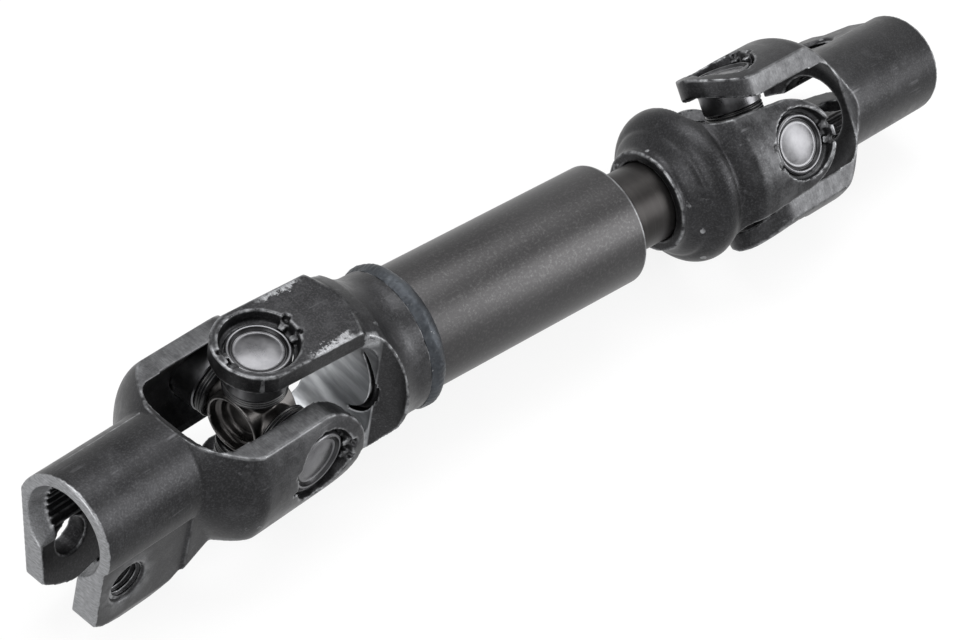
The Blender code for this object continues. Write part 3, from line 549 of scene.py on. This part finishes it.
def seal_rubber():
    nodes = Nodes("seal_rubber_black")
    broad = nodes.noise(400, 3.0)
    dust = nodes.noise(2600, 3.0, 0.6)
    colour = nodes.mix(nodes.step(dust, 0.6, 0.8), (0.008, 0.008, 0.009), (0.035, 0.035, 0.036))
    rough = nodes.step(broad, 0.3, 0.75, 0.24, 0.38)
    return nodes.surface(colour, rough, 0.0, [(dust, 0.15, 0.015 * MM)])


def bush_nylon():
    nodes = Nodes("bush_nylon_ivory")
    broad = nodes.noise(200, 3.0)
    grain = nodes.noise(1800, 2.0)
    colour = nodes.mix(nodes.step(broad, 0.3, 0.75), (0.58, 0.55, 0.47), (0.68, 0.65, 0.57))
    rough = nodes.step(broad, 0.3, 0.75, 0.42, 0.55)
    return nodes.surface(colour, rough, 0.0, [(grain, 0.12, 0.02 * MM)])


LOOKS = {
    "sleeve_fork": forged_steel("forged_sleeve_fork", SLEEVE,
                                (root_patch(0.95), rubbed(36.0, 28.0, 0.07)), (bare_and_lit_inner_faces(0.9),)),
    "shaft_fork": forged_steel("forged_shaft_fork", SHAFT_FORK, (rubbed(13.0, 20.0, 0.19),)),
    "lower_clamp": forged_steel("pressed_lower_clamp", LOWER_CLAMP, (
        clamp_ends(LOWER_LENGTH, 1.0), flat_edges(CLAMP_ARM_HALF_HEIGHT, 26.0, 0.32),
        rubbed(6.0, 26.0, 0.16), bolt_scuff(LOWER_LENGTH - BOLT_INSET, 0.4))),
    "upper_clamp": forged_steel("pressed_upper_clamp", UPPER_CLAMP, (
        clamp_ends(UPPER_LENGTH, 0.8), flat_edges(CLAMP_ARM_HALF_HEIGHT, 30.0, 0.26),
        rubbed(30.0, 50.0, 0.06))),
    "tube": drawn_tube(),
    "bearing": bearing_steel("bearing_steel_bright", 1.0),
    "weld": weld_metal(),
    "ground": ground_steel(),
    "cross": cross_steel(),
    "seal": seal_rubber(),
    "nylon": bush_nylon(),
}
# painted shade: a dimmed copy of the bearing steel for the cups' ring grooves
GROOVE_SHADE = bearing_steel("bearing_steel_groove_shade", 0.3)


def piece(name, mesh, place, look, body, *nodes, sharp=None):
    """A finished piece: scaled to metres, put in its joint's frame, riding on a body."""
    mesh.transform(place @ Matrix.Diagonal((MM, MM, MM, 1.0)))
    obj = bpy.data.objects.new(name, mesh)
    bpy.context.scene.collection.objects.link(obj)
    mesh.materials.clear()
    mesh.materials.append(LOOKS[look])
    mesh.shade_smooth()
    if sharp:
        mesh.set_sharp_from_angle(angle=radians(sharp))
    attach(obj, body)
    if nodes:
        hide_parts(*nodes)
    return obj


# Forks

def cup_seat_steps(axis, outer, recess_floor, tips):
    """Bores, recesses, staked notches and lips of a fork's two arms. tips: where each arm's tip points."""
    steps = []
    for side, tip in zip((1, -1), tips):
        turn = along(axis, side)
        bore = revolved([(CUP_FACE - CUP_LENGTH, 0.0), (CUP_FACE - CUP_LENGTH, CUP_RADIUS + 0.15),
                         (outer + 5, CUP_RADIUS + 0.15), (outer + 5, 0.0)], 96)
        recess = revolved([(recess_floor, 0.0), (recess_floor, 9.3), (outer + 5, 9.9), (outer + 5, 0.0)], 96)
        steps.append(("DIFFERENCE", moved(bore, turn)))
        steps.append(("DIFFERENCE", moved(recess, turn)))
        for number, offset in enumerate((-14.0, 12.0, 165.0, 194.0)):
            spot = turn @ Matrix.Rotation(radians(tip + offset), 4, "X")
            lip = [(CUP_FACE + 0.12, 7.35), (CUP_FACE + 0.75, 7.7), (CUP_FACE + 1.3, 9.9),
                   (recess_floor - 0.6, 10.2), (recess_floor - 0.6, 8.4), (CUP_FACE + 0.12, 8.2)]
            steps.append(("UNION", moved(prism(lip, -1.0, 0.9, "XY"), spot)))
            notch = [(CUP_FACE + 1.25, 9.3), (outer + 3, 9.5), (outer + 3, 11.2), (CUP_FACE + 0.4, 10.5)]
            wide = 0.75 + 0.2 * (number % 2)
            steps.append(("DIFFERENCE", moved(prism(notch, -wide, wide, "XY"), spot)))
    return steps


def sleeve_fork():
    """Flat arms, a round crotch closed by a bare face with a crescent gap, and a flared collar."""
    tip_end = -16.6
    trim = eased(20.3, 24.6, 27.2, ARM_OUTER, 10)
    flare = settling(28.3, 37.0, 22.5, COLLAR_RADIUS, 16)
    profile = [(tip_end, 0.0), (tip_end, 27.2), *trim, *flare, (COLLAR_END, COLLAR_RADIUS), (COLLAR_END, 0.0)]
    angle = degrees(asin(11.3 / 11.6))
    tip = arc(0.0, 0.0, 11.6, 180, 180 - angle, 24)
    corner = arc(23.0, 19.3, 8.0, 270, 360, 16)
    side = [(31.0, 23.3), (45.5, 23.3)]
    plan = [tip[0]] + mirrored(tip[1:] + corner + side)
    mouth = [(tip_end, ARM_INNER)] + arc(19.0, ARM_INNER - 8.0, 8.0, 90, 0, 20)
    shadow = arc(0.0, 0.0, 12.8, 125, 250, 32) + arc(2.1, 0.0, 12.9, 245, 130, 32)
    steps = [
        ("INTERSECT", prism(plan, -ARM_OUTER, ARM_OUTER, "XY")),
        ("DIFFERENCE", prism(mirrored(mouth), -60.0, 60.0, "XZ")),
        ("DIFFERENCE", prism(shadow, 20.0, 28.9, "YZ")),
        ("DIFFERENCE", revolved([(34.0, 0.0), (34.0, 16.5), (45.5, 16.5), (45.5, 0.0)], 96)),
        *cup_seat_steps("Z", ARM_OUTER, CUP_FACE - 0.9, (90.0, 90.0)),
    ]
    mesh = softened(carved(revolved(profile, 144), steps), 0.36, 4, 0.4)
    piece("visual_sleeve_fork", mesh, SLEEVE, "sleeve_fork", "sleeve", "sleeve_yoke")


def shaft_fork():
    """Arms that grow out of a bulged shoulder."""
    bulge = arc(25.5, 15.5, 5.8, 115, 20, 20)
    waist = eased(16.5, bulge[0][0], ARM_OUTER, bulge[0][1], 12)
    fillet = eased(bulge[-1][0], 35.4, bulge[-1][1], 14.0, 12)
    tip_end = -15.6
    profile = [(tip_end, 0.0), (tip_end, ARM_OUTER), *waist, *bulge[1:], *fillet[1:],
               (37.0, 14.0), (37.0, 0.0)]
    tip = arc(1.8, 0.0, 12.4, 180, 95, 24)
    corner = arc(18.5, 19.9, 6.0, 275, 345, 14)
    side = [(24.5, 26.3), (42.0, 26.3)]
    plan = [tip[0]] + mirrored(tip[1:] + corner + side)
    mouth = [(tip_end, ARM_INNER)] + arc(9.5, ARM_INNER - 14.0, 14.0, 90, 0, 24)
    steps = [
        ("INTERSECT", prism(plan, -60.0, 60.0, "XY")),
        ("DIFFERENCE", prism(mirrored(mouth), -60.0, 60.0, "XZ")),
        ("DIFFERENCE", revolved([(18.5, 0.0), (18.5, 11.1), (42.0, 11.1), (42.0, 0.0)], 96)),
        *cup_seat_steps("Z", ARM_OUTER, CUP_FACE - 0.9, (90.0, 90.0)),
    ]
    mesh = softened(carved(revolved(profile, 144), steps), 0.36, 5, 0.4)
    piece("visual_shaft_fork", mesh, SHAFT_FORK, "shaft_fork", "shaft", "shaft_yoke")


def clamp_section():
    """The shank across: a round back that runs down into two ears, the far one leaning in."""
    near = degrees(asin(EAR_NEAR / CLAMP_TUBE))
    top = arc(0.0, 0.0, CLAMP_TUBE, near - 90, 180 - EAR_LEAN, 64)
    foot = -EAR_DEPTH - 5.0
    bevel = -EAR_DEPTH + 5.2
    far_foot = top[-1][0] + (top[-1][1] - foot) * tan(radians(EAR_LEAN))
    near_foot = EAR_NEAR - (bevel - foot) * tan(radians(18.0))
    return top + [(far_foot, foot), (near_foot, foot), (EAR_NEAR, bevel)]


def clamp_side(length, ear_length, underside):
    """The clamp from the side: round arm tips, flat arm edges and the swept foot of the ears."""
    half = CLAMP_ARM_HALF_HEIGHT
    centre = half - 13.5
    tip = arc(centre, 0.0, half, 90, 180, 20)
    for i in range(1, 19):
        turn = radians(180 + 5 * i)
        tip.append((centre + half * cos(turn), underside * sin(turn)))
    under = eased(19.0, 44.0, -underside, -EAR_DEPTH, 20)
    corner = [(ear_length - 12.0 * (1.0 - i / 8), 4.4 * (i / 8) ** 2 - EAR_DEPTH) for i in range(9)]
    end = []
    if length > ear_length:
        end = [(ear_length, -CLAMP_TUBE - 2.0), (length, -CLAMP_TUBE + 2.0)]
    top = eased(28.5, 34.0, half + 0.3, 16.2, 12)
    return tip + under + corner + end + [(length, 16.2)] + list(reversed(top))


def pinch_steps(bolt_x):
    """The tapped hole, opened for its thread, with its countersink, and the clear hole and bolt seat."""
    tapped = [(0.0, 0.0), (0.0, 5.0), (PRESSED_FLAT - 1.0, 5.0), (PRESSED_FLAT, 5.75),
              (PRESSED_FLAT + 5.0, 9.5), (PRESSED_FLAT + 5.0, 0.0)]
    clear = [(0.0, 0.0), (0.0, 4.6), (10.3, 4.6), (10.3, 6.8), (16.0, 6.8), (16.0, 0.0)]
    steps = []
    for side, profile in ((1, tapped), (-1, clear)):
        place = Matrix.Translation((bolt_x, 0.0, -BOLT_DROP)) @ along("Y", side)
        steps.append(("DIFFERENCE", moved(revolved(profile, 72), place)))
    return steps


def thread_mesh(low, high):
    """The internal thread of the tapped hole, as a ring with a helical groove."""
    pitch, crest, root, outer = 1.5, 4.2, 4.95, 5.25
    sides = 72
    rows = int((high - low) / 0.125)
    points, faces = [], []
    for i in range(rows + 1):
        x = low + (high - low) * i / rows
        for j in range(sides):
            angle = 2 * pi * j / sides
            share = (x / pitch - j / sides) % 1.0
            radius = crest + (root - crest) * min(1.0, 2.4 * abs(share - 0.5))
            points.append((x, radius * cos(angle), radius * sin(angle)))
    for x in (high, low):
        for j in range(sides):
            angle = 2 * pi * j / sides
            points.append((x, outer * cos(angle), outer * sin(angle)))
    for i in range(rows + 3):
        row, next_row = i * sides, (i + 1) % (rows + 3) * sides
        for j in range(sides):
            k = (j + 1) % sides
            faces.append([row + j, row + k, next_row + k, next_row + j])
    return mesh_of(points, faces)


def clamp_fork(name, place, look, body, node, length, ear_length, underside):
    """A pressed fork with a slotted, serrated shank."""
    reach = CLAMP_ARM_OUTER - 0.05  # keeps the finely turned bell inside the box of the solids
    bell = [(-18.5, 0.0), (-18.5, reach), *eased(19.0, 34.0, reach, 13.9, 24), (39.0, 13.9), (39.0, 0.0)]
    base = moved(revolved(bell, 144), Matrix.Translation((0, 0, -1.2)))
    bottom = [(22.5 + 6.0 * sin(radians(a)), 12.3 + 6.5 * cos(radians(a))) for a in range(0, 91, 6)]
    cavity = [(-23.5, 0.0), (-23.5, 18.8), *bottom, (28.5, 0.0)]
    lean = (60.0 - 8.4) * tan(radians(EAR_LEAN))
    slot = [(5.9, 0.0), (-5.9, 0.0), (-5.9, -8.4), (lean - 5.9, -60.0), (5.9, -60.0)]
    foot = length - 4.6
    mouth = [(foot, 0.0), (foot, SERRATION_ROOT + 0.1), (length, 11.4), (length + 5.0, 13.1),
             (length + 5.0, 0.0)]
    pressed = [(33.6, -2.6), (length + 5.0, -2.6), (length + 5.0, -60.0), (33.6, -60.0)]
    steps = [
        ("UNION", prism(clamp_section(), 23.5, length + 5.0, "YZ")),
        ("INTERSECT", prism(clamp_side(length, ear_length, underside), -60.0, 60.0, "XZ")),
        ("DIFFERENCE", revolved(cavity, 144)),
        ("DIFFERENCE", revolved([(0.0, 0.0), (0.0, SERRATION_ROOT), (SERRATIONS_START + 0.5, SERRATION_ROOT),
                                 (SERRATIONS_START + 0.5, 0.0)], 96)),
        ("DIFFERENCE", toothed(SERRATION_ROOT, SERRATION_TIP, 32, SERRATIONS_START, length + 5.0, 0.5)),
        ("DIFFERENCE", prism(slot, 0.0, length + 5.0, "YZ")),
        ("DIFFERENCE", revolved(mouth, 96)),
        ("DIFFERENCE", prism(pressed, PRESSED_FLAT, EAR_NEAR + 5.0, "XZ")),
        *pinch_steps(ear_length - BOLT_INSET),
        *cup_seat_steps("Y", CLAMP_ARM_OUTER, 20.2, (0.0, 180.0)),
    ]
    mesh = softened(carved(base, steps), 0.36, 4, 0.35)
    piece("visual_" + name, mesh, place, look, body, node)
    bolt = Matrix.Translation((ear_length - BOLT_INSET, 0.0, -BOLT_DROP)) @ along("Y", 1)
    thread = moved(thread_mesh(6.1, PRESSED_FLAT - 0.9), bolt)
    piece("visual_%s_thread" % name, thread, place, look, body, sharp=50)


# Sleeve, weld, bush and inner shaft

def weld_ring():
    """An uneven bead with fine ripples, sunk a little into the collar and the sleeve."""
    def lumps(x, radius, angle):
        if radius < 16.9:
            return 0.0
        spot = Vector((x * 0.35, 5.0 * cos(angle), 5.0 * sin(angle)))
        ripple = 0.03 * sin(angle * 74 + 1.3 * x)
        return 0.28 * noise.noise(spot) + 0.12 * noise.noise(spot * 4.1) + ripple
    start, inner = COLLAR_END - 0.5, SLEEVE_RADIUS - 0.15
    crown = [(start + 5.6 * i / 14, 18.35 + 0.75 * sin(pi * i / 14) - 1.9 * (i / 14) ** 4) for i in range(15)]
    profile = [(start, inner), *crown, (start + 5.75, inner)]
    mesh = revolved(profile, 360, lumps)
    piece("visual_weld", mesh, SLEEVE, "weld", "sleeve", "weld_bead", sharp=60)


def tube_and_shaft():
    """The sleeve, the splined bush fixed in it and the inner shaft that slides in the bush."""
    bore = SLEEVE_RADIUS - SLEEVE_WALL
    rim = arc(SLEEVE_END - 0.6, SLEEVE_RADIUS - 0.6, 0.6, 0, 90, 6)
    profile = [(34.3, bore), (SLEEVE_END - 0.5, bore), (SLEEVE_END, bore + 0.5), *rim, (34.3, SLEEVE_RADIUS)]
    piece("visual_sleeve", revolved(profile, 192), SLEEVE, "tube", "sleeve", "sleeve_tube", sharp=40)
    outer = bore - 0.05
    ring = revolved([(75.7, 0.0), (75.7, outer), (111.7, outer), (111.7, 0.0)], 128)
    socket = toothed(12.3, 11.5, 20, 70.0, 117.0, 0.42)
    bush = carved(ring, [("DIFFERENCE", socket)])
    piece("visual_bush", bush, SLEEVE, "nylon", "sleeve", "slide_bush", sharp=30)
    end = SPACING - 23.8
    shaft = revolved([(104.0, 0.0), (104.0, SHAFT_RADIUS), (end - 1.0, SHAFT_RADIUS),
                      (end, SHAFT_RADIUS - 1.0), (end, 0.0)], 144)
    teeth = toothed(SPLINE_ROOT, SPLINE_ROOT + 0.9, 20, 56.0, 109.0, 0.5)
    shaft = carved(shaft, [("UNION", teeth)])
    piece("visual_inner_shaft", shaft, SLEEVE, "ground", "shaft", "inner_shaft", sharp=30)


# Crosses and bearings

def cross(name, place, body, node):
    """Four journals round a hub that is hollowed from both sides."""
    shoulder, end = 11.5, 19.9
    half = [(shoulder, 6.0), (shoulder + 0.3, 4.4), (end - 0.6, 4.4), (end, 3.8)]
    profile = [(-end, 0.0)] + [(-x, r) for x, r in reversed(half)] + half + [(end, 0.0)]
    steps = [("UNION", moved(revolved(profile, 64), along("Y", 1))),
             ("UNION", revolved([(-7.1, 0.0), (-7.1, 8.1), (7.1, 8.1), (7.1, 0.0)], 96))]
    for turn in (0.0, pi):
        well = revolved([(3.0, 0.0), (2.6, 4.9), (3.0, 5.4), (4.6, 5.7), (4.9, 7.0), (12.0, 7.25),
                         (12.0, 0.0)], 96)
        steps.append(("DIFFERENCE", moved(well, Matrix.Rotation(turn, 4, "Z"))))
    mesh = softened(carved(moved(revolved(profile, 64), along("Z", 1)), steps), 0.3, 5, 0.3)
    piece("visual_" + name, mesh, place, "cross", body, node)


def cup_mesh():
    """A drawn cup: round lip, ring groove and a slightly crowned disc."""
    foot = CUP_FACE - CUP_LENGTH
    turns = [radians(a) for a in range(0, 91, 10)]
    lip = [(CUP_FACE - 0.75 + 0.75 * sin(a), CUP_RADIUS - 0.75 + 0.75 * cos(a)) for a in turns]
    disc = [(CUP_FACE - 0.95 + 0.7 * (1.0 - (i / 12) ** 2), 5.7 * i / 12) for i in range(13)]
    disc += [(CUP_FACE - 0.90, 5.95), (CUP_FACE - 0.74, 6.15)]
    groove = [(CUP_FACE - 0.86, 6.35), (CUP_FACE - 0.88, 6.6), (CUP_FACE - 0.5, 6.85), (CUP_FACE - 0.1, 7.02)]
    back = [(CUP_FACE - 1.4, 0.0), (CUP_FACE - 1.4, 6.3), (CUP_FACE - 1.8, 6.7), (foot, 6.7),
            (foot, CUP_RADIUS - 0.3), (foot + 0.3, CUP_RADIUS)]
    return revolved(back + lip + list(reversed(groove)) + list(reversed(disc)), 128)


def seal_mesh():
    """A ring with three lips."""
    end = CUP_FACE - CUP_LENGTH - FIT
    start = end - 2.6
    outline = [(end, 6.3), (end, 7.5)]
    for i in range(24):
        x = end - 0.1 - 2.3 * i / 23
        outline.append((x, 7.52 + 0.38 * abs(sin(pi * 3 * i / 23)) ** 0.6))
    return revolved([*outline, (start, 7.3), (start, 6.3)], 96)


def bearing(name, place, axis, side, body):
    frame_of_cup = place @ along(axis, side)
    mesh = cup_mesh()
    # painted shade: the faces of the ring groove take the dimmed groove steel
    groove_shade_faces = [6.2 < hypot(p.center.y, p.center.z) < 6.95 and p.center.x > CUP_FACE - 1.0
             for p in mesh.polygons]
    cup = piece("visual_%s_cup" % name, mesh, frame_of_cup, "bearing", body, name + "_cup", sharp=35)
    cup.data.materials.append(GROOVE_SHADE)
    cup.data.polygons.foreach_set("material_index", [int(flag) for flag in groove_shade_faces])
    piece("visual_%s_seal" % name, seal_mesh(), frame_of_cup, "seal", body, name + "_seal", sharp=50)


sleeve_fork()
shaft_fork()
clamp_fork("lower_clamp", LOWER_CLAMP, "lower_clamp", "lower_clamp", "lower_clamp_yoke",
           LOWER_LENGTH, LOWER_LENGTH, 13.4)
clamp_fork("upper_clamp", UPPER_CLAMP, "upper_clamp", "upper_clamp", "upper_clamp_yoke",
           UPPER_LENGTH, UPPER_EAR_LENGTH, 10.4)
weld_ring()
tube_and_shaft()
cross("lower_cross", LOWER_CROSS, "lower_cross", "lower_spider")
cross("upper_cross", UPPER_CROSS, "upper_cross", "upper_spider")
bearing("sleeve_top", SLEEVE, "Z", 1, "sleeve")
bearing("sleeve_bottom", SLEEVE, "Z", -1, "sleeve")
bearing("lower_clamp_front", LOWER_CUPS, "Y", -1, "lower_clamp")
bearing("lower_clamp_back", LOWER_CUPS, "Y", 1, "lower_clamp")
bearing("shaft_front", SHAFT_CUPS, "Z", 1, "shaft")
bearing("shaft_back", SHAFT_CUPS, "Z", -1, "shaft")
bearing("upper_clamp_top", UPPER_CLAMP, "Y", 1, "upper_clamp")
bearing("upper_clamp_bottom", UPPER_CLAMP, "Y", -1, "upper_clamp")

# The needle rollers keep their own solids
for name, obj in frame["nodes"].items():
    if name.endswith("_needles"):
        obj.data.materials.clear()
        obj.data.materials.append(LOOKS["bearing"])


# Stage, light and camera

def seen_directly(tree):
    """1 for camera, glossy and transmission rays, which show the white background."""
    path = tree.nodes.new("ShaderNodeLightPath")
    value = path.outputs["Is Camera Ray"]
    for ray in ("Is Glossy Ray", "Is Transmission Ray"):
        either = tree.nodes.new("ShaderNodeMath")
        either.operation = "MAXIMUM"
        tree.links.new(value, either.inputs[0])
        tree.links.new(path.outputs[ray], either.inputs[1])
        value = either.outputs[0]
    return value


def white_backdrop(name, share):
    """A matt white that the camera and mirror-like rays see at strength 1 for the given share."""
    material = bpy.data.materials.new(name)
    material.use_nodes = True
    tree = material.node_tree
    shader = tree.nodes["Principled BSDF"]
    shader.inputs["Base Color"].default_value = (0.93, 0.93, 0.93, 1.0)
    shader.inputs["Roughness"].default_value = 0.9
    shader.inputs["Specular IOR Level"].default_value = 0.0
    glow = tree.nodes.new("ShaderNodeEmission")
    glow.inputs["Color"].default_value = (1.0, 1.0, 1.0, 1.0)
    glow.inputs["Strength"].default_value = 1.0
    seen = tree.nodes.new("ShaderNodeMath")
    seen.operation = "MULTIPLY"
    seen.inputs[1].default_value = share
    tree.links.new(seen_directly(tree), seen.inputs[0])
    mix = tree.nodes.new("ShaderNodeMixShader")
    tree.links.new(seen.outputs[0], mix.inputs[0])
    tree.links.new(shader.outputs[0], mix.inputs[1])
    tree.links.new(glow.outputs[0], mix.inputs[2])
    tree.links.new(mix.outputs[0], tree.nodes["Material Output"].inputs["Surface"])
    return material


def studio_floor():
    mesh = bpy.data.meshes.new("studio_floor")
    shape = bmesh.new()
    bmesh.ops.create_grid(shape, x_segments=2, y_segments=2, size=3.0)
    shape.to_mesh(mesh)
    shape.free()
    floor = bpy.data.objects.new("studio_floor", mesh)
    bpy.context.scene.collection.objects.link(floor)
    floor.location = (0.0, 0.0, -0.2 * MM)
    mesh.materials.append(white_backdrop("studio_white", 0.85))


def studio_world():
    world = bpy.data.worlds.new("studio")
    bpy.context.scene.world = world
    world.use_nodes = True
    tree = world.node_tree
    background = tree.nodes["Background"]
    background.inputs["Color"].default_value = (1.0, 1.0, 1.0, 1.0)
    strength = tree.nodes.new("ShaderNodeMapRange")
    tree.links.new(seen_directly(tree), strength.inputs["Value"])
    strength.inputs["To Min"].default_value = 0.55
    strength.inputs["To Max"].default_value = 1.0
    tree.links.new(strength.outputs["Result"], background.inputs["Strength"])


def soft_light(name, position, target, width, height, power):
    light = bpy.data.lights.new(name, "AREA")
    light.shape = "RECTANGLE"
    light.size = width
    light.size_y = height
    light.energy = power
    obj = bpy.data.objects.new(name, light)
    bpy.context.scene.collection.objects.link(obj)
    obj.location = position
    obj.rotation_euler = (Vector(target) - Vector(position)).to_track_quat("-Z", "Y").to_euler()


def studio_camera():
    camera = bpy.data.cameras.new("camera")
    camera.lens = 105.0
    camera.sensor_width = 36.0
    camera.clip_start = 0.01
    obj = bpy.data.objects.new("camera", camera)
    bpy.context.scene.collection.objects.link(obj)
    right = Vector((0.75422, -0.64320, 0.13209))
    up = Vector((0.40508, 0.61410, 0.67734))
    back = Vector((-0.51678, -0.45735, 0.72372))
    place = Matrix((right, up, back)).transposed().to_4x4()
    place.translation = LOWER_JOINT + Vector((-0.290715, -0.322099, 0.497195))
    obj.matrix_world = place
    bpy.context.scene.camera = obj


studio_floor()
studio_world()
soft_light("softbox_top", (0.10, 0.25, 0.85), (0.0, 0.0, 0.03), 0.9, 0.5, 5.6)
soft_light("softbox_left", (-0.75, -0.15, 0.45), (0.0, 0.0, 0.03), 0.5, 0.6, 3.4)
soft_light("softbox_right", (0.60, -0.55, 0.40), (0.0, 0.0, 0.03), 0.4, 0.6, 4.4)
studio_camera()
bpy.context.scene.view_settings.view_transform = "Standard"
